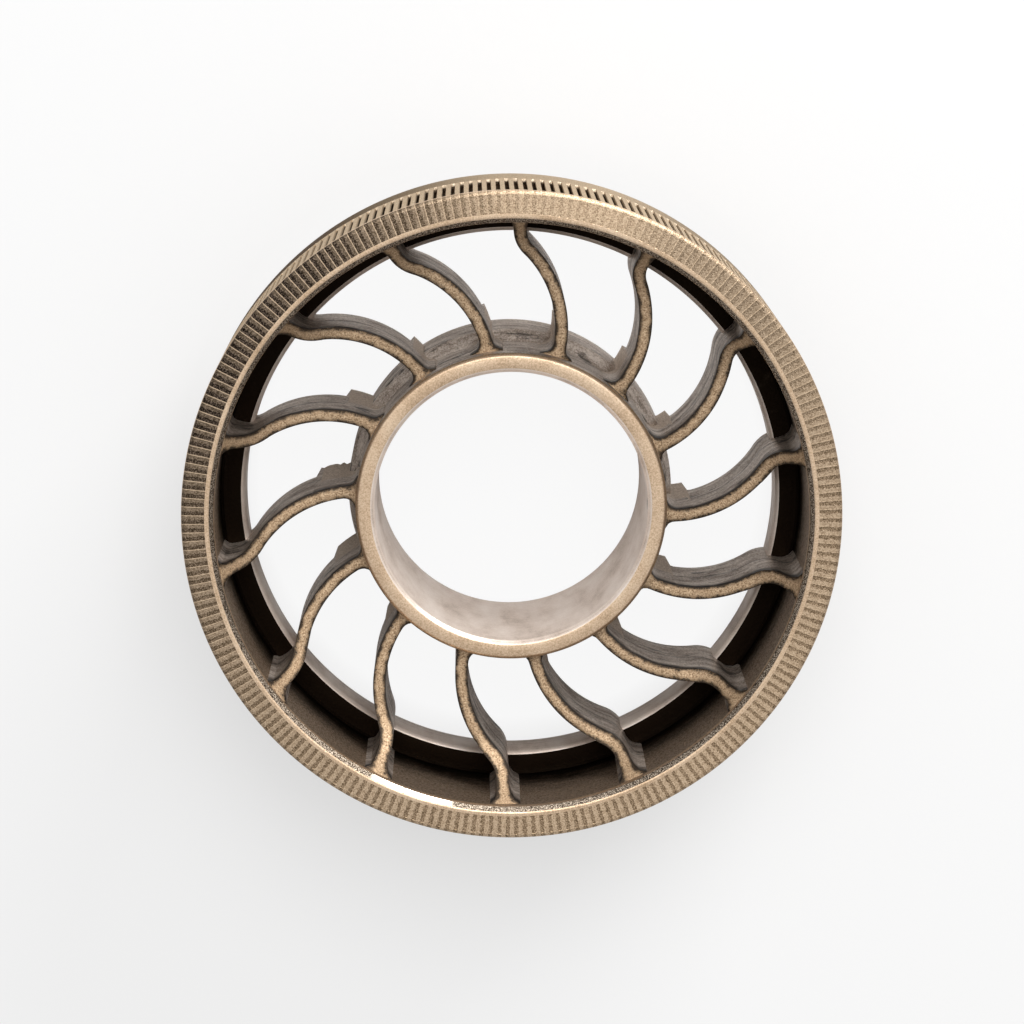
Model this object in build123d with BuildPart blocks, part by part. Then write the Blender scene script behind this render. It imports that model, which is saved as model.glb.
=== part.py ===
"""Pump impeller: one bronze casting, machined on its faces, bore and rim.

A ring hub and an outer rim are joined by S-shaped vanes. The wheel lies on the back
end of its hub with the serrated face up. The axis is +Z and the origin is at the
centre of the hub's back face. Millimetres and degrees.
"""
import os
from math import atan2, cos, degrees, hypot, pi, radians, sin

from build123d import *

os.makedirs("parts", exist_ok=True)

# ---- wheel ----
outside_diameter = 64.0
overall_length = 23.7           # hub's back face to the serrated face
rim_length = 16.9               # the hub stands out behind the rim by the rest

# ---- rim ----
rim_wall = 2.9                  # outside surface to the plain inside wall
rim_corner_chamfer = 0.3
face_ridge = 0.25               # smooth ring inside the serrations
face_bevel = 0.45               # drop from the serrated face to the bead
bead_height = 0.25              # bead behind the bevel, standing in from the wall
bead_length = 0.7
flange_height = 2.4             # flange at the rim's back, standing in from the wall
flange_thickness = 4.1
flange_chamfer = 0.4

# ---- serrations: radial grooves in the face, and slots round the outside ----
serration_count = 230
serration_margin = 0.12         # plain land between the serrations and the corner chamfer
groove_share = 0.48             # width of a groove or slot as a share of the pitch
groove_length = 1.85
groove_depth = 0.15
slot_length = 10.9
slot_depth = 0.5

# ---- hub ----
bore_diameter = 27.0
hub_wall = 1.9
hub_setback = 6.4               # serrated face to the hub's front face
bore_chamfer = 0.4
hub_chamfer = 0.3
collar_height = 1.0             # collar at the hub's back, standing out from the barrel
collar_slope = 2.1              # length of the cast slope from barrel to collar
collar_lead = 0.5               # collar's full width starts this far ahead of the rim's back

# ---- vanes ----
vane_count = 14
vane_thickness = 1.25
vane_sweep = 15.8               # angle by which the hub end trails the rim end
vane_outer_run = 1.4            # radial run from the outer bend to the rim's inside wall
vane_outer_bend_radius = 3.0
vane_rim_angle = 11.1           # where the first vane meets the rim
vane_rim_setback = 3.5          # serrated face to the front edges at the rim
vane_hub_setback = 2.1          # hub's front face to the front edges at the hub
rim_fillets = (0.6, 1.2)        # trailing and leading side of each vane
hub_fillets = (0.9, 1.4)
ear_height = 2.0                # ear behind each vane, standing out from the collar
ear_length = 4.7

# ---- worked out from the sizes above ----
rim_radius = outside_diameter / 2
rim_back = overall_length - rim_length
rim_inside_radius = rim_radius - rim_wall
flange_front = rim_back + flange_thickness
flange_radius = rim_inside_radius - flange_height
bead_radius = rim_inside_radius - bead_height
bead_front = overall_length - face_bevel
bead_back = bead_front - bead_length
face_outer_radius = rim_radius - rim_corner_chamfer
groove_outer_radius = face_outer_radius - serration_margin
groove_inner_radius = groove_outer_radius - groove_length
groove_width = groove_share * 2 * pi * rim_radius / serration_count
rim_side_front = overall_length - rim_corner_chamfer
slot_front = rim_side_front - serration_margin

bore_radius = bore_diameter / 2
hub_radius = bore_radius + hub_wall
hub_front = overall_length - hub_setback
collar_radius = hub_radius + collar_height
collar_front = rim_back + collar_lead
ear_radius = collar_radius + ear_height
vane_rim_front = overall_length - vane_rim_setback
vane_hub_front = hub_front - vane_hub_setback
root_depth = hub_wall / 3       # how far the vane section runs into the hub and the rim

# Each vane leaves the hub along a radius, bends forward in one arc, bends back in a
# second arc that touches the first, and meets the rim along a radius again. The inner
# arc's radius is the one that makes the two arcs touch.
sweep = radians(vane_sweep)
hub_end = (hub_radius - root_depth) * Vector(cos(sweep), -sin(sweep))
to_inner_centre = Vector(sin(sweep), cos(sweep))
outer_bend_end = Vector(rim_inside_radius - vane_outer_run, 0)
outer_bend_centre = outer_bend_end - Vector(0, vane_outer_bend_radius)
span = hub_end - outer_bend_centre
inner_bend_radius = (span.length**2 - vane_outer_bend_radius**2) / (
    2 * (vane_outer_bend_radius - span.dot(to_inner_centre))
)
between_centres = outer_bend_centre - hub_end - to_inner_centre * inner_bend_radius
inner_bend_angle = vane_sweep + degrees(atan2(between_centres.X, -between_centres.Y))


def root_corners(sketch, wall_radius, vane_end_angle, leading):
    """Corners where the vanes meet a round wall, on their leading or trailing sides."""
    pitch = 360 / vane_count

    def chosen(corner):
        angle = degrees(atan2(corner.Y, corner.X))
        ahead = (angle - vane_end_angle) % pitch < pitch / 2
        on_wall = abs(hypot(corner.X, corner.Y) - wall_radius) < 0.001
        return on_wall and ahead == leading

    return sketch.vertices().filter_by(chosen)


# ---- rim: a turned ring with a bevelled mouth, a bead and a flange at the back ----
with BuildPart() as rim:
    with BuildSketch(Plane.XZ):
        with BuildLine():
            Polyline(
                (rim_radius, rim_back + rim_corner_chamfer),
                (rim_radius, rim_side_front),
                (face_outer_radius, overall_length),
                (groove_inner_radius - face_ridge, overall_length),
                (rim_inside_radius, bead_front),
                (bead_radius, bead_front),
                (bead_radius, bead_back),
                (rim_inside_radius, bead_back - bead_height),
                (rim_inside_radius, flange_front),
                (flange_radius + flange_chamfer, flange_front),
                (flange_radius, flange_front - flange_chamfer),
                (flange_radius, rim_back),
                (rim_radius - rim_corner_chamfer, rim_back),
                close=True,
            )
        make_face()
    revolve(axis=Axis.Z)

# ---- hub: a turned barrel that slopes out to a collar at the back ----
with BuildPart() as hub:
    with BuildSketch(Plane.XZ):
        with BuildLine():
            Polyline(
                (bore_radius, bore_chamfer),
                (bore_radius, hub_front - bore_chamfer),
                (bore_radius + bore_chamfer, hub_front),
                (hub_radius - hub_chamfer, hub_front),
                (hub_radius, hub_front - hub_chamfer),
                (hub_radius, collar_front + collar_slope),
                (collar_radius, collar_front),
                (collar_radius, hub_chamfer),
                (collar_radius - hub_chamfer, 0),
                (bore_radius + bore_chamfer, 0),
                close=True,
            )
        make_face()
    revolve(axis=Axis.Z)

# ---- serration cutter: one V groove for the face and one square slot for the side ----
with BuildPart() as serration:
    over = groove_depth         # the cutters stand this far out of the surface they cut
    with BuildSketch(Plane.YZ.offset(groove_inner_radius)):
        with BuildLine():
            Polyline(
                (0, overall_length - groove_depth),
                (groove_width, overall_length + over),
                (-groove_width, overall_length + over),
                close=True,
            )
        make_face()
    extrude(amount=groove_length)
    with BuildSketch(Plane.XZ):
        with BuildLine():
            Polyline(
                (rim_radius - slot_depth, slot_front),
                (rim_radius + over, slot_front),
                (rim_radius + over, slot_front - slot_length),
                (rim_radius - slot_depth, slot_front - slot_length),
                close=True,
            )
        make_face()
    extrude(amount=groove_width / 2, both=True)

# ---- vane: its section between the hub and the rim ----
with BuildSketch() as vane_section:
    with BuildLine():
        inner_bend = JernArc(
            start=hub_end,
            tangent=hub_end,
            radius=inner_bend_radius,
            arc_size=inner_bend_angle,
        )
        outer_bend = TangentArc(inner_bend @ 1, outer_bend_end, tangent=inner_bend % 1)
        Line(outer_bend @ 1, (rim_inside_radius + root_depth, 0))
    trace(line_width=vane_thickness)

# ---- impeller: the cast vanes trimmed front and back, with the rim and the hub ----
with BuildPart() as impeller:
    with BuildSketch() as wheel_section:
        Circle(rim_inside_radius + root_depth)
        Circle(rim_inside_radius, mode=Mode.SUBTRACT)
        Circle(hub_radius)
        Circle(hub_radius - root_depth, mode=Mode.SUBTRACT)
        with PolarLocations(0, vane_count, start_angle=vane_rim_angle):
            add(vane_section.sketch)
        for leading in (False, True):
            rim_roots = root_corners(wheel_section, rim_inside_radius, vane_rim_angle, leading)
            fillet(rim_roots, rim_fillets[leading])
            hub_roots = root_corners(wheel_section, hub_radius, vane_rim_angle - vane_sweep, leading)
            fillet(hub_roots, hub_fillets[leading])
    extrude(amount=overall_length)
    with BuildSketch(Plane.XZ):
        with BuildLine():
            Polyline(
                (rim_inside_radius, vane_rim_front),
                (rim_inside_radius + root_depth, vane_rim_front),
                (rim_inside_radius + root_depth, rim_back),
                (ear_radius, rim_back),
                (ear_radius, rim_back - ear_length),
                (hub_radius - root_depth, rim_back - ear_length),
                (hub_radius - root_depth, vane_hub_front),
                (hub_radius, vane_hub_front),
                close=True,
            )
        make_face()
    revolve(axis=Axis.Z, mode=Mode.INTERSECT)
    add(rim.part)
    add(hub.part)
    with PolarLocations(0, serration_count):
        add(serration.part, mode=Mode.SUBTRACT)

impeller.part.label = "impeller"
export_step(impeller.part, "parts/impeller.step")
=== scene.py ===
"""Looks of the pump impeller: one bronze casting with turned faces, lying on a pale floor."""

from math import atan2, cos, hypot, pi, radians, sin, sqrt
from random import Random

import bmesh
import bpy
from mathutils import Matrix, Vector


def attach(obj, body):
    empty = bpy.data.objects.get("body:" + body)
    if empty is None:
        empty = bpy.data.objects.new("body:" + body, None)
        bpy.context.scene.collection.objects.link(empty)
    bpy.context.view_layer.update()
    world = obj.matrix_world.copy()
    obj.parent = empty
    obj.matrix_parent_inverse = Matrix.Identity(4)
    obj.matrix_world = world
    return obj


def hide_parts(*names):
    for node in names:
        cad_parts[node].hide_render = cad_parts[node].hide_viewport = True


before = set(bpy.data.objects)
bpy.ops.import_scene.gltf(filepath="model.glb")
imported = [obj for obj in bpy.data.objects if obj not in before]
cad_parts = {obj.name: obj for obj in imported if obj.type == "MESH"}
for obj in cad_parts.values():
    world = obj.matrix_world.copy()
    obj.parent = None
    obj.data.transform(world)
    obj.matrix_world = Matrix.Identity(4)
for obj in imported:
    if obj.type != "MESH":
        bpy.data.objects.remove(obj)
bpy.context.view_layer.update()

# ---- impeller: the rim ----
# The whole wheel is one casting in bronze: hub, curved vanes and rim poured together. The rim is
# turned, and fine serrations are cut into its face and side. Lengths here are millimetres, and
# MM turns them to metres.
MM = 0.001
FACE, BORE, TOOTH, SLOT, GRIT, CAST, WALL, FRONT, EAR = range(9)      # the wheel's material slots

RIM_RADIUS = 32.0
RIM_BACK = 6.8
RIM_FACE = 23.7
RIM_WALL = 29.1               # the radius of the rim's inside
WALL_MIDDLE = 18.0            # one more ring of points, partway along the wall
BEVEL_RADIUS = 29.5           # where the face ends and the bevel inside it begins
BEAD_RADIUS = 28.85
BEAD_BACK = 22.7
FLANGE_RADIUS = 26.7
FLANGE_FRONT = 10.9

SERRATIONS = 230
PITCH = 2 * pi / SERRATIONS
GROOVE_HALF = 0.24 * PITCH    # half of a groove's and a slot's width, as an angle
GROOVE_WALL = 0.02 * PITCH    # the angle that a slot's side takes up
GROOVE_DEPTH = 0.05
GROOVE_INNER = 29.75
GROOVE_OUTER = 31.56
SLOT_DEPTH = 0.5
SLOT_END = 12.4


def spun(bm, profile, turns):
    """Spins a closed (r, z) profile through the turns, one step each, and gives its vertices."""
    start = Matrix.Rotation(-sum(turns) / 2, 4, "Z")
    verts = [bm.verts.new(start @ Vector((r * MM, 0, z * MM))) for r, z in profile]
    edges = [bm.edges.new((a, b)) for a, b in zip(verts, verts[1:] + verts[:1])]
    made, last = verts[:], verts + edges
    for turn in turns:
        last = bmesh.ops.spin(bm, geom=last, cent=(0, 0, 0), axis=(0, 0, 1), angle=turn,
                              steps=1)["geom_last"]
        made += [v for v in last if isinstance(v, bmesh.types.BMVert)]
    return made


def repeated(bm, count):
    """Copies all that the mesh holds around the axis, count pieces in all, and welds them."""
    bmesh.ops.spin(bm, geom=bm.verts[:] + bm.edges[:] + bm.faces[:], cent=(0, 0, 0),
                   axis=(0, 0, 1), angle=2 * pi * (count - 1) / count, steps=count - 1,
                   use_duplicate=True)
    bmesh.ops.remove_doubles(bm, verts=bm.verts, dist=0.002 * MM)


def middle_of(face):
    """The radius and the height of a face's middle, in millimetres."""
    middle = face.calc_center_median() / MM
    return hypot(middle.x, middle.y), middle.z


# one serration's width of the rim: a square slot in its side and a V groove in its face
rim_profile = [
    # the back edge and the side, with the slot's two ends
    (RIM_RADIUS - 0.28, RIM_BACK), (RIM_RADIUS - 0.1, RIM_BACK + 0.06),
    (RIM_RADIUS - 0.02, RIM_BACK + 0.18), (RIM_RADIUS, RIM_BACK + 0.35),
    (RIM_RADIUS, SLOT_END - 0.04), (RIM_RADIUS, SLOT_END + 0.02),
    (RIM_RADIUS, RIM_FACE - 0.48), (RIM_RADIUS, RIM_FACE - 0.42),
    # the front edge and the face, with the groove's two ends
    (RIM_RADIUS - 0.04, RIM_FACE - 0.26), (RIM_RADIUS - 0.16, RIM_FACE - 0.1),
    (RIM_RADIUS - 0.32, RIM_FACE - 0.01), (GROOVE_OUTER + 0.02, RIM_FACE),
    (GROOVE_OUTER - 0.02, RIM_FACE), (GROOVE_INNER + 0.02, RIM_FACE),
    (GROOVE_INNER - 0.02, RIM_FACE),
    # the bevel, and the bead where it meets the wall
    (BEVEL_RADIUS, RIM_FACE), (BEVEL_RADIUS - 0.12, RIM_FACE - 0.01),
    (BEVEL_RADIUS - 0.2, RIM_FACE - 0.06), (BEAD_RADIUS + 0.08, RIM_FACE - 0.41),
    (BEAD_RADIUS + 0.02, RIM_FACE - 0.48), (BEAD_RADIUS, RIM_FACE - 0.56),
    (BEAD_RADIUS, BEAD_BACK), (BEAD_RADIUS + 0.03, BEAD_BACK - 0.12),
    (RIM_WALL - 0.06, BEAD_BACK - 0.34), (RIM_WALL, BEAD_BACK - 0.5),
    # the wall, and the flange behind it
    (RIM_WALL, WALL_MIDDLE), (RIM_WALL, FLANGE_FRONT + 0.6),
    (RIM_WALL - 0.06, FLANGE_FRONT + 0.25), (RIM_WALL - 0.3, FLANGE_FRONT + 0.04),
    (RIM_WALL - 0.7, FLANGE_FRONT), (FLANGE_RADIUS + 0.46, FLANGE_FRONT),
    (FLANGE_RADIUS + 0.38, FLANGE_FRONT - 0.02), (FLANGE_RADIUS + 0.04, FLANGE_FRONT - 0.35),
    (FLANGE_RADIUS, FLANGE_FRONT - 0.44), (FLANGE_RADIUS, RIM_BACK + 0.15),
    (FLANGE_RADIUS + 0.06, RIM_BACK + 0.04), (FLANGE_RADIUS + 0.2, RIM_BACK),
]
land = PITCH / 2 - GROOVE_HALF
half_floor = GROOVE_HALF - GROOVE_WALL
bm = bmesh.new()
for v in spun(bm, rim_profile, [land, GROOVE_WALL, half_floor, half_floor, GROOVE_WALL, land]):
    r, z, off = hypot(v.co.x, v.co.y) / MM, v.co.z / MM, abs(atan2(v.co.y, v.co.x))
    in_slot = r > RIM_RADIUS - 0.01 and SLOT_END < z < RIM_FACE - 0.45
    in_groove = z > RIM_FACE - 0.005 and GROOVE_INNER < r < GROOVE_OUTER
    if in_slot and off < GROOVE_HALF - 0.5 * GROOVE_WALL:
        v.co.xy *= (r - SLOT_DEPTH) / r
    if in_groove and off < 0.5 * GROOVE_WALL:
        v.co.z -= GROOVE_DEPTH * MM
repeated(bm, SERRATIONS)

for face in bm.faces:
    r, z = middle_of(face)
    if r > RIM_RADIUS - 0.8 and z < RIM_FACE - 0.4:
        face.material_index = SLOT
    elif r > BEVEL_RADIUS + 0.2 and z > RIM_FACE - 0.3:
        face.material_index = TOOTH
    elif r > BEVEL_RADIUS - 0.18 or (r > RIM_WALL - 0.24 and z < RIM_BACK + 0.7):
        face.material_index = FACE
    elif z > RIM_FACE - 0.5:
        face.material_index = GRIT
    elif z > BEAD_BACK - 0.4:
        face.material_index = FACE
    elif r > FLANGE_RADIUS + 0.4:
        face.material_index = WALL
    else:
        face.material_index = BORE

# ---- impeller: the hub ----
# A barrel of the same casting, reamed inside and turned on its front, with a cast slope down to
# a collar at its back. It is set back from the rim's face.
BORE_RADIUS = 13.5
BORE_MIDDLE = 5.0             # one more ring of points, partway along the bore
HUB_RADIUS = 15.4
HUB_FRONT = 17.3
HUB_CHAMFER = 0.4             # at both mouths of the bore
HUB_EDGE = 0.3                # on the outside corners
SLOPE_FRONT = 9.4
COLLAR_FRONT = 7.3
COLLAR_RADIUS = 16.4
HUB_STEPS = 240


def joined(bm, piece):
    """Adds a finished piece of mesh to the wheel's, and frees it."""
    held = bpy.data.meshes.new("held")
    piece.to_mesh(held)
    piece.free()
    bm.from_mesh(held)
    bpy.data.meshes.remove(held)


hub = bmesh.new()
spun(hub, [
    (BORE_RADIUS, HUB_CHAMFER), (BORE_RADIUS, BORE_MIDDLE), (BORE_RADIUS, HUB_FRONT - HUB_CHAMFER),
    (BORE_RADIUS + HUB_CHAMFER, HUB_FRONT), (HUB_RADIUS - HUB_EDGE, HUB_FRONT),
    (HUB_RADIUS, HUB_FRONT - HUB_EDGE), (HUB_RADIUS, SLOPE_FRONT), (COLLAR_RADIUS, COLLAR_FRONT),
    (COLLAR_RADIUS, HUB_EDGE), (COLLAR_RADIUS - HUB_EDGE, 0.0), (BORE_RADIUS + HUB_CHAMFER, 0.0),
], [2 * pi / HUB_STEPS])
repeated(hub, HUB_STEPS)
corners = [e for e in hub.edges
           if e.calc_face_angle(0) > radians(15) and e.calc_length() < 0.5 * MM]
bmesh.ops.bevel(hub, geom=corners, offset=0.09 * MM, segments=2, profile=0.5, affect="EDGES",
                material=-1)
for face in hub.faces:
    r, z = middle_of(face)
    if z > HUB_FRONT - 0.35 and r > BORE_RADIUS + 0.38:
        face.material_index = FACE
    elif r < BORE_RADIUS + 0.42 or z < 0.35:
        face.material_index = BORE
    else:
        face.material_index = CAST
joined(bm, hub)

# ---- impeller: the vanes ----
# Fourteen cast S-shaped walls from the hub to the rim, each on two touching arcs and a short
# radial run. Cast fillets join them at both ends, their fronts are machined, and a rough stub
# is left behind each hub end.
VANES = 14
FIRST_VANE = radians(11.1)
SWEEP = radians(15.8)
OUTER_RUN = 1.4
OUTER_BEND_RADIUS = 3.0
ROOT_DEPTH = 0.633                     # how far a vane's end runs into the hub
VANE_HALF = 0.625                      # half of its thickness
HUB_FILLETS = {-1: 0.9, 1: 1.4}        # on the trailing and on the leading side
RIM_FILLETS = {-1: 0.8, 1: 1.4}
FRONT_AT_HUB = 15.2
FRONT_SLOPE = 0.12
FRONT_TURN_UP = 24.0                   # from this radius out the front curves up to the rim
FRONT_CURVE = 0.185
STUB_RADIUS = 18.4
STUB_BACK = 2.1
STUB_FRONT = 10.5
RAGGED_VANE = 7                        # its stub is broken off raggedly, the rest are sawn
STATIONS = 52
ROWS = 5

hub_end = (HUB_RADIUS - ROOT_DEPTH) * Vector((cos(SWEEP), -sin(SWEEP)))
outer_bend_end = Vector((RIM_WALL - OUTER_RUN, 0.0))
outer_centre = outer_bend_end - Vector((0, OUTER_BEND_RADIUS))
to_inner_centre = Vector((sin(SWEEP), cos(SWEEP)))
span = hub_end - outer_centre
inner_radius = (span.length_squared - OUTER_BEND_RADIUS ** 2) / (
    2 * (OUTER_BEND_RADIUS - span.dot(to_inner_centre)))
inner_centre = hub_end + to_inner_centre * inner_radius
between = outer_centre - inner_centre
heading = atan2(between.x, -between.y)
inner_length = inner_radius * (heading + SWEEP)
outer_length = OUTER_BEND_RADIUS * heading
vane_length = inner_length + outer_length + OUTER_RUN + ROOT_DEPTH


def on_camber(s):
    """The centreline's point and unit tangent at a length s from the hub end."""
    if s < inner_length:
        turn = s / inner_radius - SWEEP
        point = inner_centre + inner_radius * Vector((sin(turn), -cos(turn)))
        return point, Vector((cos(turn), sin(turn)))
    if s < inner_length + outer_length:
        turn = heading - (s - inner_length) / OUTER_BEND_RADIUS
        point = outer_centre + OUTER_BEND_RADIUS * Vector((-sin(turn), cos(turn)))
        return point, Vector((cos(turn), sin(turn)))
    return outer_bend_end + Vector((s - inner_length - outer_length, 0)), Vector((1, 0))


def flare(distance, radius):
    """How far a fillet of that radius stands out from the vane, at a distance from the wall."""
    d = min(max(distance, 0.0), radius)
    return radius - sqrt(radius * radius - (radius - d) ** 2)


def front_at(reach):
    """The height of a vane's front at a radius."""
    turned_up = max(reach - FRONT_TURN_UP, 0.0)
    return FRONT_AT_HUB + FRONT_SLOPE * (reach - HUB_RADIUS) + FRONT_CURVE * turned_up ** 2


stations = [on_camber(vane_length * i / STATIONS) for i in range(STATIONS + 1)]
rng = Random(7)
bm.verts.layers.float.new("across")       # -1 on a vane's trailing side, 1 on its leading side
bm.verts.layers.float.new("height")       # 0 at a vane's back, 1 at its front
for number in range(VANES):
    vane = bmesh.new()
    across = vane.verts.layers.float.new("across")
    height = vane.verts.layers.float.new("height")
    bmesh.ops.create_grid(vane, x_segments=STATIONS, y_segments=ROWS, size=0.5)
    trailing = set(vane.verts)
    bmesh.ops.extrude_face_region(vane, geom=vane.verts[:] + vane.edges[:] + vane.faces[:],
                                  use_keep_orig=True)
    ragged = number == RAGGED_VANE
    stub_back = STUB_BACK + (0.7 if ragged else rng.uniform(0.0, 0.4))
    stub_radius = STUB_RADIUS + (0.8 if ragged else rng.uniform(-0.6, 0.7))
    for v in vane.verts:
        i, row = round((v.co.x + 0.5) * STATIONS), round((v.co.y + 0.5) * ROWS)
        point, tangent = stations[i]
        side = -1 if v in trailing else 1
        rho = point.length
        out = VANE_HALF + flare(rho - HUB_RADIUS, HUB_FILLETS[side])
        out += flare(RIM_WALL - rho, RIM_FILLETS[side])
        at = point + side * out * Vector((-tangent.y, tangent.x))
        front, back = front_at(min(at.length, RIM_WALL)), RIM_BACK
        if rho < stub_radius:
            back = stub_back + (rng.uniform(-0.6, 0.6) if ragged else 0.0)
        v.co = Vector((at.x, at.y, back + (front - back) * row / ROWS)) * MM
        v[across] = side
        v[height] = row / ROWS
    bmesh.ops.recalc_face_normals(vane, faces=vane.faces)
    long_edges = [e for e in vane.edges if e.calc_face_angle(0) > radians(55)
                  and abs(e.verts[0].co.z - e.verts[1].co.z) < 0.3 * e.calc_length()]
    for face in vane.faces:
        r, z = middle_of(face)
        on_stub = z < STUB_FRONT and r < stub_radius
        face.material_index = FRONT if face.normal.z > 0.3 else EAR if on_stub else CAST
    bmesh.ops.bevel(vane, geom=long_edges, offset=0.1 * MM, segments=2, profile=0.5,
                    affect="EDGES", material=-1)
    turn = Matrix.Rotation(FIRST_VANE + 2 * pi * number / VANES, 3, "Z")
    bmesh.ops.rotate(vane, verts=vane.verts, cent=(0, 0, 0), matrix=turn)
    joined(bm, vane)

bmesh.ops.recalc_face_normals(bm, faces=bm.faces)
for face in bm.faces:
    face.smooth = True
for edge in bm.edges:
    edge.smooth = edge.calc_face_angle(0) < radians(32)
mesh = bpy.data.meshes.new("impeller_casting")
bm.to_mesh(mesh)
bm.free()
impeller = bpy.data.objects.new("impeller_casting", mesh)
bpy.context.scene.collection.objects.link(impeller)


# ---- impeller: the finishes ----
# Tin bronze, unpainted. The turned faces are tan and finely scored round the axis, the cast
# skin between them is brown to black and semi-gloss, and the serrations have gritty floors,
# darkened also with painted shade. Painted shade, highlights and sheen are marked below.
def linear(hex_colour):
    """The linear RGBA of an sRGB colour written as six hex digits."""
    channels = [int(hex_colour[i:i + 2], 16) / 255 for i in (0, 2, 4)]
    return [c / 12.92 if c <= 0.04045 else ((c + 0.055) / 1.055) ** 2.4 for c in channels] + [1.0]


def node(tree, kind, *values, stops=(), **settings):
    """Adds a shader node with its settings, fills its live inputs in order, gives its result.

    A value may be a socket, which is linked, or six hex digits for a colour, or None, which
    leaves that input alone. stops are a colour ramp's (position, hex colour) pairs.
    """
    made = tree.nodes.new("ShaderNode" + kind)
    for name, value in settings.items():
        setattr(made, name, value)
    for socket, value in zip([s for s in made.inputs if s.enabled], values):
        if isinstance(value, bpy.types.NodeSocket):
            tree.links.new(value, socket)
        elif value is not None:
            socket.default_value = linear(value) if isinstance(value, str) else value
    if stops:
        elements = made.color_ramp.elements
        while len(elements) < len(stops):
            elements.new(0.5)
        for element, (position, hex_colour) in zip(elements, stops):
            element.position, element.color = position, linear(hex_colour)
    return next(s for s in made.outputs if s.enabled)


def new_finish(name, roughness, metallic=1.0):
    """Fills the wheel's next material slot; gives its node tree and the place on the object."""
    material = bpy.data.materials.new(name)
    material.use_nodes = True
    shader = material.node_tree.nodes["Principled BSDF"]
    shader.inputs["Metallic"].default_value = metallic
    shader.inputs["Roughness"].default_value = roughness
    mesh.materials.append(material)
    return material.node_tree, node(material.node_tree, "TexCoord").node.outputs["Object"]


def round_axis(tree, where):
    """The radius, the angle and the height of a place on the wheel."""
    x, y, z = node(tree, "SeparateXYZ", where).node.outputs
    x_squared = node(tree, "Math", x, x, operation="MULTIPLY")
    squared = node(tree, "Math", y, y, x_squared, operation="MULTIPLY_ADD")
    return (node(tree, "Math", squared, operation="SQRT"),
            node(tree, "Math", y, x, operation="ARCTAN2"), z)


def painted_shade(tree, angle):
    """Painted shade and light on the serrated rim, round the axis from -180 to 180 degrees."""
    return node(tree, "ValToRGB", node(tree, "MapRange", angle, -pi, pi, 0.0, 1.0), stops=[
        (0.0, "e7e7e7"), (0.07, "bcbcbc"), (0.167, "7c7c7c"), (0.25, "606060"), (0.375, "606060"),
        (0.47, "888888"), (0.54, "aaaaaa"), (0.61, "c4c4c4"), (0.66, "b4b4b4"), (0.7, "505050"),
        (0.755, "7c7c7c"), (0.8, "dbdbdb"), (0.847, "ffffff"), (0.944, "ffffff"), (1.0, "e7e7e7")])


def coat(tree, colour, roughness, height, depth_mm):
    """Joins the patterns to the shader. depth_mm is how deep the height goes."""
    shader = tree.nodes["Principled BSDF"]
    tree.links.new(colour, shader.inputs["Base Color"])
    if roughness:
        tree.links.new(roughness, shader.inputs["Roughness"])
    tree.links.new(node(tree, "Bump", 1.0, depth_mm * MM, None, height), shader.inputs["Normal"])


SMOOTH = {"interpolation_type": "SMOOTHSTEP"}
NOISE_ROUGHNESS = 0.6

# turned faces: fine rings from the tool, with a faint sandy sparkle
tree, where = new_finish("turned_bronze", 0.45)
radius, _, z = round_axis(tree, where)
grain = node(tree, "TexNoise", where, 1 / (0.14 * MM), 3.0, NOISE_ROUGHNESS)
cloud = node(tree, "TexNoise", where, 1 / (5.0 * MM), 4.0, NOISE_ROUGHNESS)
rings = node(tree, "TexNoise", node(tree, "CombineXYZ", radius, z), 1 / (0.16 * MM), 2.0,
             NOISE_ROUGHNESS)
tone = node(tree, "Math", grain, 0.6, node(tree, "Math", cloud, 0.4, operation="MULTIPLY"),
            operation="MULTIPLY_ADD")
coat(tree,
     node(tree, "ValToRGB", tone, stops=[(0.36, "a88f74"), (0.5, "cbb195"), (0.64, "e2cbb0")]),
     node(tree, "MapRange", tone, 0.35, 0.65, 0.5, 0.4, **SMOOTH),
     node(tree, "Math", grain, 0.5, rings, operation="MULTIPLY_ADD"), 0.012)

# bore and collar: reamed smooth, greyer, and smudged, with a dark spot near the bore's mouth:
# painted shade for a nick that the mesh does not have
NICK_PLACE = (13.4 * MM, 0.3 * MM, 15.9 * MM)
NICK_RADIUS = 1.4
NICK_RAGGEDNESS = 1.6
tree, where = new_finish("reamed_bronze", 0.4, metallic=0.5)
radius, _, z = round_axis(tree, where)
grain = node(tree, "TexNoise", where, 1 / (0.12 * MM), 3.0, NOISE_ROUGHNESS)
smudge = node(tree, "TexNoise", node(tree, "VectorMath", where, (1, 1, 0.5), operation="MULTIPLY"),
              1 / (3.2 * MM), 3.0, NOISE_ROUGHNESS)
rings = node(tree, "TexNoise", node(tree, "CombineXYZ", radius, z), 1 / (0.25 * MM), 3.0,
             NOISE_ROUGHNESS)
smudged = node(tree, "Math", smudge, 0.45, operation="MULTIPLY")
ringed = node(tree, "Math", rings, 0.3, smudged, operation="MULTIPLY_ADD")
tone = node(tree, "Math", grain, 0.25, ringed, operation="MULTIPLY_ADD")
# the nick's painted shade, a dark spot with a ragged edge
nick_edge = node(tree, "TexNoise", where, 1 / (0.7 * MM), 3.0, NOISE_ROUGHNESS)
nick_gap = node(tree, "Math", nick_edge, NICK_RAGGEDNESS * MM,
                node(tree, "VectorMath", where, NICK_PLACE, operation="DISTANCE"),
                operation="MULTIPLY_ADD")
nick_shade = node(tree, "MapRange", nick_gap, (NICK_RADIUS - 0.1) * MM, (NICK_RADIUS + 0.1) * MM,
            1.0, 0.0, **SMOOTH)
clean = node(tree, "ValToRGB", tone, stops=[(0.36, "a8988b"), (0.47, "cfc0b4"), (0.62, "e2d7cd")])
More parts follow.
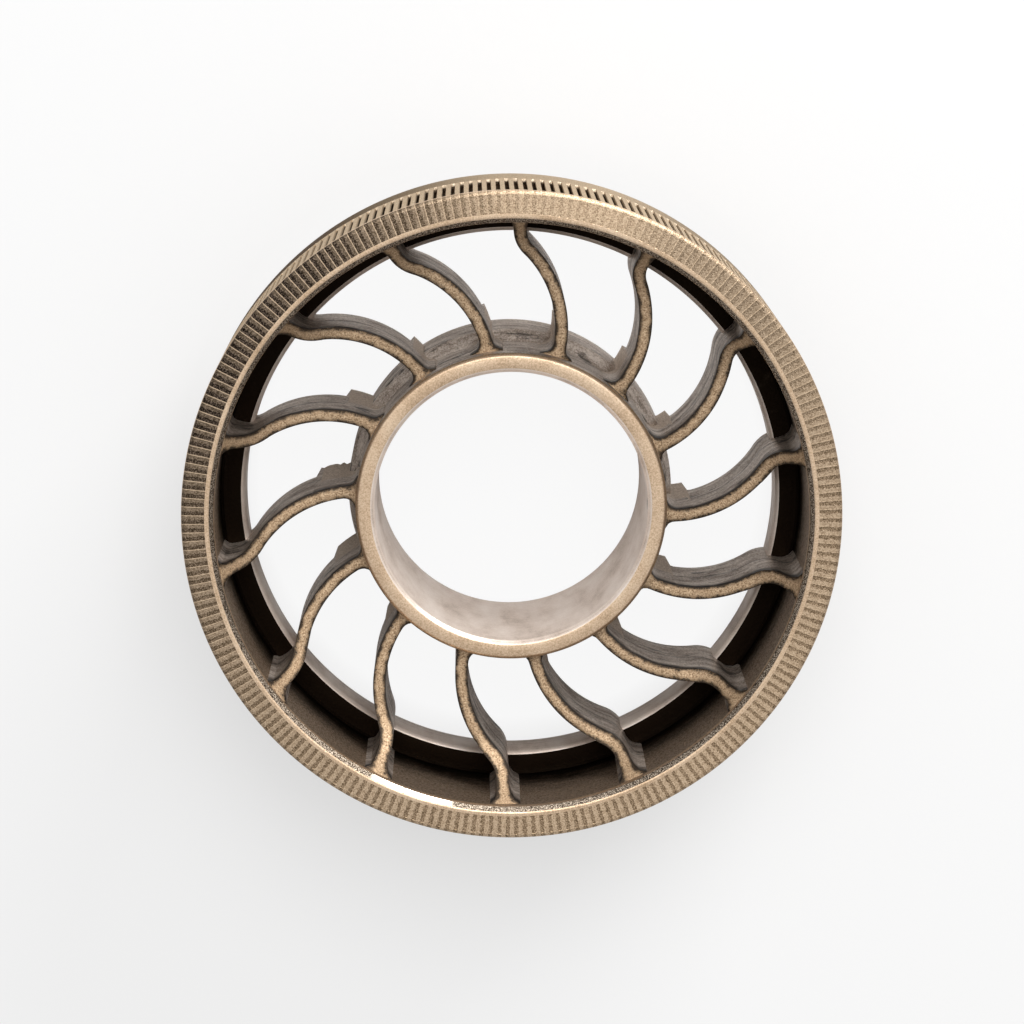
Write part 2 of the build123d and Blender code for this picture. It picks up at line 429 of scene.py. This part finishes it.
coat(tree, node(tree, "Mix", nick_shade, clean, "1d1712", data_type="RGBA"),
     node(tree, "MapRange", tone, 0.35, 0.6, 0.5, 0.34, **SMOOTH),
     node(tree, "Math", grain, 0.4, rings, operation="MULTIPLY_ADD"), 0.008)

# serrated face: tan lands and gritty grooves, the grooves darkened also with painted shade, and
# over it all a painted shade that changes round the rim. In that shade each serration keeps a
# painted highlight on one arris, and round 58 degrees a painted sheen makes the grooves faint.
PAINTED_SHEEN_AT = radians(58)
ARRIS_HIGHLIGHT_AT = 0.77               # where the arris is, as a share of one serration's width
tree, where = new_finish("serrated_bronze", 0.5)
_, angle, _ = round_axis(tree, where)
grain = node(tree, "TexNoise", where, 1 / (0.12 * MM), 2.0, 0.7)
turns = node(tree, "Math", angle, SERRATIONS / (2 * pi), 0.5, operation="MULTIPLY_ADD")
turns = node(tree, "Math", turns, operation="FRACT")
from_groove = node(tree, "Math", node(tree, "Math", turns, 0.5, operation="SUBTRACT"),
                   operation="ABSOLUTE")
from_arris_highlight = node(tree, "Math", node(tree, "Math", turns, ARRIS_HIGHLIGHT_AT, operation="SUBTRACT"),
                  operation="ABSOLUTE")
grit = node(tree, "Math", grain, 0.5, operation="SUBTRACT")
groove = node(tree, "MapRange",
              node(tree, "Math", grit, 0.35, from_groove, operation="MULTIPLY_ADD"),
              0.17, 0.31, 1.0, 0.0, **SMOOTH)
arris_highlight = node(tree, "MapRange", from_arris_highlight, 0.02, 0.07, 1.0, 0.0, **SMOOTH)
# a painted sheen round 58 degrees, where the grooves are painted faint
from_painted_sheen = node(tree, "Math", node(tree, "Math", angle, PAINTED_SHEEN_AT, operation="SUBTRACT"),
                  operation="COSINE")
outside_painted_sheen = node(tree, "MapRange", from_painted_sheen, 0.6, 0.95, 1.0, 0.3, **SMOOTH)
lands = node(tree, "ValToRGB", grain, stops=[(0.34, "947d63"), (0.46, "bda58a"), (0.62, "d2bb9f")])
# the grooves' floors: grit, and painted shade in the grooves
floors_with_painted_shade = node(tree, "ValToRGB", grain, stops=[(0.36, "64523e"), (0.5, "957f66"), (0.62, "b9a185")])
bright = node(tree, "Mix", node(tree, "Math", groove, outside_painted_sheen, operation="MULTIPLY"), lands, floors_with_painted_shade,
              data_type="RGBA")
# the colour of the painted shade: near-black, with a painted highlight on each serration's arris
black = node(tree, "ValToRGB", grain, stops=[(0.38, "0c0906"), (0.5, "2c241d"), (0.66, "75665a")])
dark = node(tree, "Mix", node(tree, "Math", arris_highlight, 0.85, operation="MULTIPLY"), black, "c9b398",
            data_type="RGBA")
# how heavily the painted shade lies, round the rim
painted_shade_amount = node(tree, "Math", painted_shade(tree, angle),
              node(tree, "MapRange", groove, 0.0, 1.0, 0.85, 1.0), operation="MULTIPLY")
coat(tree, node(tree, "Mix", painted_shade_amount, bright, dark, data_type="RGBA"),
     node(tree, "MapRange", grain, 0.35, 0.65, 0.6, 0.45, **SMOOTH), grain, 0.03)

# the rim's slotted side: tan lands, slots painted near-black as painted shade, and a plain lip
# that carries the same painted shade as the face beside it
LIP_END = 12.2
tree, where = new_finish("slotted_bronze", 0.45)
tree.nodes["Principled BSDF"].inputs["Specular Tint"].default_value = linear("8c8074")
radius, angle, z = round_axis(tree, where)
grain = node(tree, "TexNoise", where, 1 / (0.14 * MM), 3.0, NOISE_ROUGHNESS)
lands = node(tree, "ValToRGB", grain, stops=[(0.34, "b09c84"), (0.5, "d8c4aa"), (0.64, "eadbc4")])
# the slots' floors, painted near-black: painted shade in the slots
floors_with_painted_shade = node(tree, "ValToRGB", grain, stops=[(0.36, "1c1611"), (0.6, "4a3d31")])
on_lip = node(tree, "MapRange", z, LIP_END * MM, (LIP_END + 0.3) * MM, 1.0, 0.0, **SMOOTH)
# the painted shade on the plain lip, in dark brown
painted_lip_shade = node(tree, "Math", painted_shade(tree, angle), on_lip, operation="MULTIPLY")
# where the painted shade of the slots lies
painted_slot_shade = node(tree, "MapRange", radius, (RIM_RADIUS - 0.38) * MM, (RIM_RADIUS - 0.1) * MM, 1.0, 0.0,
            **SMOOTH)
coat(tree, node(tree, "Mix", node(tree, "Math", painted_lip_shade, 0.85, operation="MULTIPLY"),
                node(tree, "Mix", painted_slot_shade, lands, floors_with_painted_shade, data_type="RGBA"), "30261e",
                data_type="RGBA"),
     node(tree, "MapRange", grain, 0.35, 0.65, 0.55, 0.42, **SMOOTH), grain, 0.015)

# the bevel inside the face: gritty with dark pits, but over a short stretch smoother and near
# white, a painted highlight
PAINTED_HIGHLIGHT_AT = radians(-110)
tree, where = new_finish("gritty_bevel", 0.38)
_, angle, _ = round_axis(tree, where)
grain = node(tree, "TexNoise", where, 1 / (0.12 * MM), 2.0, 0.75)
from_painted_highlight = node(tree, "Math",
                    node(tree, "Math", angle, PAINTED_HIGHLIGHT_AT, operation="SUBTRACT"),
                    operation="COSINE")
smooth_painted_highlight = node(tree, "MapRange", from_painted_highlight, 0.988, 0.993, 0.0, 1.0, **SMOOTH)
pitted = node(tree, "ValToRGB", grain, stops=[(0.38, "1d1813"), (0.5, "66594c"), (0.62, "b5a898")])
# near white over the stretch: a painted highlight
coat(tree, node(tree, "Mix", smooth_painted_highlight, pitted, "e6dccf", data_type="RGBA"),
     node(tree, "MapRange", smooth_painted_highlight, 0.0, 1.0, 0.42, 0.22, **SMOOTH),
     node(tree, "Math", grain, node(tree, "Math", 1.0, smooth_painted_highlight, operation="SUBTRACT"),
          operation="MULTIPLY"), 0.05)

# cast skin on the vanes: brown-grey and semi-gloss, streaked along the flow, with black patches, a
# black line just under the machined front and a thin flash line halfway down
FLASH_HEIGHT = 0.52           # as a share of the vane's height
tree, where = new_finish("cast_bronze_skin", 0.4, metallic=0.75)
streak = node(tree, "TexNoise",
              node(tree, "VectorMath", where, (0.5, 0.5, 1.7), operation="MULTIPLY"),
              1 / (1.6 * MM), 4.0, NOISE_ROUGHNESS)
blot = node(tree, "TexNoise",
            node(tree, "VectorMath", where, (0.5, 0.5, 1.3), operation="MULTIPLY"),
            1 / (1.6 * MM), 4.0, NOISE_ROUGHNESS)
grain = node(tree, "TexNoise", where, 1 / (0.2 * MM), 3.0, NOISE_ROUGHNESS)
wave = node(tree, "TexNoise", where, 1 / (2.0 * MM), 2.0, NOISE_ROUGHNESS)
height = node(tree, "Attribute", attribute_name="height").node.outputs["Fac"]
wander = node(tree, "Math", node(tree, "Math", wave, 0.5, operation="SUBTRACT"), 0.12, height,
              operation="MULTIPLY_ADD")
from_flash = node(tree, "Math", node(tree, "Math", wander, FLASH_HEIGHT, operation="SUBTRACT"),
                  operation="ABSOLUTE")
flash = node(tree, "MapRange", from_flash, 0.0, 0.035, 1.0, 0.0, **SMOOTH)
black_under_front = node(tree, "MapRange", node(tree, "Math", grain, 0.15, wander, operation="MULTIPLY_ADD"),
            0.93, 1.06, 0.0, 1.0, **SMOOTH)
patch = node(tree, "MapRange", blot, 0.57, 0.68, 0.0, 1.0, **SMOOTH)
tone = node(tree, "Math", streak, 0.5, node(tree, "Math", grain, 0.5, operation="MULTIPLY"),
            operation="MULTIPLY_ADD")
skin = node(tree, "ValToRGB", tone, stops=[(0.36, "6a5d53"), (0.48, "a09286"), (0.6, "cdc1b6")])
lines = node(tree, "Math", node(tree, "Math", flash, 0.7, operation="MULTIPLY"), black_under_front,
             operation="MAXIMUM")
dark = node(tree, "Math", node(tree, "Math", patch, 0.85, operation="MULTIPLY"), lines,
            operation="MAXIMUM")
uneven = node(tree, "Math", grain, 0.4, streak, operation="MULTIPLY_ADD")
coat(tree, node(tree, "Mix", dark, skin, "1b1511", data_type="RGBA"),
     node(tree, "MapRange", tone, 0.35, 0.65, 0.5, 0.3, **SMOOTH),
     node(tree, "Math", uneven, flash, operation="SUBTRACT"), 0.03)

# the rim's inside: cast skin, brown at its mouth and black towards the flange, the black partly
# dark patina and partly painted shade deep in the rim
BLACK_TO = 11.5               # black behind this height, and brown in front of the next
BROWN_FROM = 19.0
tree, where = new_finish("rim_inside_skin", 0.45)
_, _, z = round_axis(tree, where)
grain = node(tree, "TexNoise", where, 1 / (0.22 * MM), 3.0, NOISE_ROUGHNESS)
streak = node(tree, "TexNoise",
              node(tree, "VectorMath", where, (0.6, 0.6, 2.2), operation="MULTIPLY"),
              1 / (1.6 * MM), 4.0, NOISE_ROUGHNESS)
depth = node(tree, "Math", node(tree, "Math", streak, 0.5, operation="SUBTRACT"), 6.0 * MM, z,
             operation="MULTIPLY_ADD")
mouth = node(tree, "ValToRGB", grain, stops=[(0.34, "6a5b4d"), (0.5, "95826f"), (0.66, "b8a28c")])
# brown at the mouth, black deeper in: dark patina and painted shade
clear_of_patina_and_shade = node(tree, "MapRange", depth, BLACK_TO * MM, BROWN_FROM * MM, 0.0, 1.0, **SMOOTH)
coat(tree, node(tree, "Mix", clear_of_patina_and_shade, "150f0a", mouth, data_type="RGBA"),
     node(tree, "MapRange", grain, 0.35, 0.65, 0.55, 0.4, **SMOOTH),
     node(tree, "Math", grain, 0.5, streak, operation="MULTIPLY_ADD"), 0.05)

# vane fronts: machined tan, with black specks that crowd along their edges
tree, where = new_finish("machined_vane_front", 0.6, metallic=0.7)
grain = node(tree, "TexNoise", where, 1 / (0.16 * MM), 2.0, 0.7)
blot = node(tree, "TexNoise", where, 1 / (0.9 * MM), 4.0, NOISE_ROUGHNESS)
across = node(tree, "Attribute", attribute_name="across").node.outputs["Fac"]
edge = node(tree, "Math", across, operation="ABSOLUTE")
specks = node(tree, "Math", blot, 0.4, node(tree, "Math", grain, 0.5, operation="MULTIPLY"),
              operation="MULTIPLY_ADD")
crowd = node(tree, "MapRange", node(tree, "Math", edge, 0.34, specks, operation="MULTIPLY_ADD"),
             0.59, 0.75, 0.0, 1.0, **SMOOTH)
tan = node(tree, "ValToRGB", grain, stops=[(0.34, "7d674e"), (0.5, "ab9174"), (0.64, "c9b193")])
coat(tree, node(tree, "Mix", crowd, tan, "33291f", data_type="RGBA"),
     node(tree, "MapRange", grain, 0.35, 0.65, 0.72, 0.55, **SMOOTH), grain, 0.03)

# sawn stubs behind the hub: plain, pale and sandy
tree, where = new_finish("sawn_bronze", 0.5)
grain = node(tree, "TexNoise", where, 1 / (0.2 * MM), 3.0, NOISE_ROUGHNESS)
coat(tree,
     node(tree, "ValToRGB", grain, stops=[(0.34, "948272"), (0.5, "b9a999"), (0.66, "d6c9bb")]),
     None, grain, 0.03)

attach(impeller, "root")
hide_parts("impeller")

# ---- floor ----
# A matt white studio floor. The camera sees it mixed with plain white: strongly under the wheel,
# a painted pool of light that whitens the wheel's shade in the openings, and less farther out,
# so that the soft shadow is kept.
FLOOR_HALF = 3.0              # in metres
PAINTED_POOL_UNDER_WHEEL = 0.95
WHITE_FARTHER_OUT = 0.55
UNDER_WHEEL_TO = 26.0
FARTHER_OUT_FROM = 34.0
bm = bmesh.new()
bmesh.ops.create_grid(bm, x_segments=1, y_segments=1, size=FLOOR_HALF)
floor_mesh = bpy.data.meshes.new("floor")
bm.to_mesh(floor_mesh)
bm.free()
floor = bpy.data.objects.new("floor", floor_mesh)
bpy.context.scene.collection.objects.link(floor)
floor_material = bpy.data.materials.new("white_floor")
floor_material.use_nodes = True
tree = floor_material.node_tree
paint = tree.nodes["Principled BSDF"]
paint.inputs["Base Color"].default_value = linear("d2d2d2")
paint.inputs["Roughness"].default_value = 0.9
paint.inputs["Specular IOR Level"].default_value = 0.1
to_camera = node(tree, "LightPath").node.outputs["Is Camera Ray"]
from_middle = node(tree, "VectorMath", node(tree, "TexCoord").node.outputs["Object"],
                   operation="LENGTH")
# the painted pool of light: more plain white under the wheel than farther out
white = node(tree, "MapRange", from_middle, UNDER_WHEEL_TO * MM, FARTHER_OUT_FROM * MM,
             PAINTED_POOL_UNDER_WHEEL, WHITE_FARTHER_OUT)
shown = node(tree, "MixShader", node(tree, "Math", to_camera, white, operation="MULTIPLY"),
             paint.outputs[0], node(tree, "Emission", "fbfbfb", 1.0))
tree.links.new(shown, tree.nodes["Material Output"].inputs["Surface"])
floor_mesh.materials.append(floor_material)

# ---- light ----
# A low, long softbox beyond the wheel on its +x, +y side, a broad one overhead, and a pale room.
LAMPS_AIM = Vector((0, 0, 0.015))
ROOM_STRENGTH = 0.72
scene = bpy.context.scene


def softbox(name, place, size, watts):
    """A rectangular area lamp aimed at the wheel."""
    data = bpy.data.lights.new(name, "AREA")
    data.shape = "RECTANGLE"
    data.size, data.size_y = size
    data.energy = watts
    lamp = bpy.data.objects.new(name, data)
    lamp.location = place
    lamp.rotation_euler = (LAMPS_AIM - Vector(place)).to_track_quat("-Z", "Y").to_euler()
    scene.collection.objects.link(lamp)


softbox("key", (0.24, 0.45, 0.15), (0.3, 0.16), 3.2)
softbox("overhead", (0.05, 0.35, 0.6), (0.4, 0.4), 3.0)

world = bpy.data.worlds.new("studio")
scene.world = world
world.use_nodes = True
room = world.node_tree.nodes["Background"]
room.inputs["Color"].default_value = (1, 1, 1, 1)
room.inputs["Strength"].default_value = ROOM_STRENGTH

# ---- camera ----
# Nearly over the wheel's axis, leaning 11.6 degrees from it towards +y, which is up in the view.
CAMERA_LEAN = radians(11.6)
CAMERA_TURN = radians(-0.8)
CAMERA_DISTANCE = 0.300
PIXELS_PER_RADIAN = 3105.0
IMAGE_SIZE = 1024
SENSOR_WIDTH = 36.0
CENTRE_OFFSET = (0.2, 9.2)     # where the rim's centre falls, in pixels right and below the middle

data = bpy.data.cameras.new("camera")
data.sensor_width = SENSOR_WIDTH
data.lens = SENSOR_WIDTH * PIXELS_PER_RADIAN / IMAGE_SIZE
data.clip_start = 0.01
camera = bpy.data.objects.new("camera", data)
towards = Vector((sin(CAMERA_TURN) * cos(CAMERA_LEAN), sin(CAMERA_LEAN),
                  cos(CAMERA_TURN) * cos(CAMERA_LEAN)))
right = Vector((0, 1, 0)).cross(towards).normalized()
up = towards.cross(right)
rim_centre = Vector((0, 0, RIM_FACE * MM))
per_pixel = CAMERA_DISTANCE / PIXELS_PER_RADIAN
camera.location = (rim_centre + towards * CAMERA_DISTANCE
                   - right * CENTRE_OFFSET[0] * per_pixel + up * CENTRE_OFFSET[1] * per_pixel)
camera.rotation_euler = Matrix((right, up, towards)).transposed().to_euler()
scene.collection.objects.link(camera)
scene.camera = camera
scene.view_settings.view_transform = "Standard"
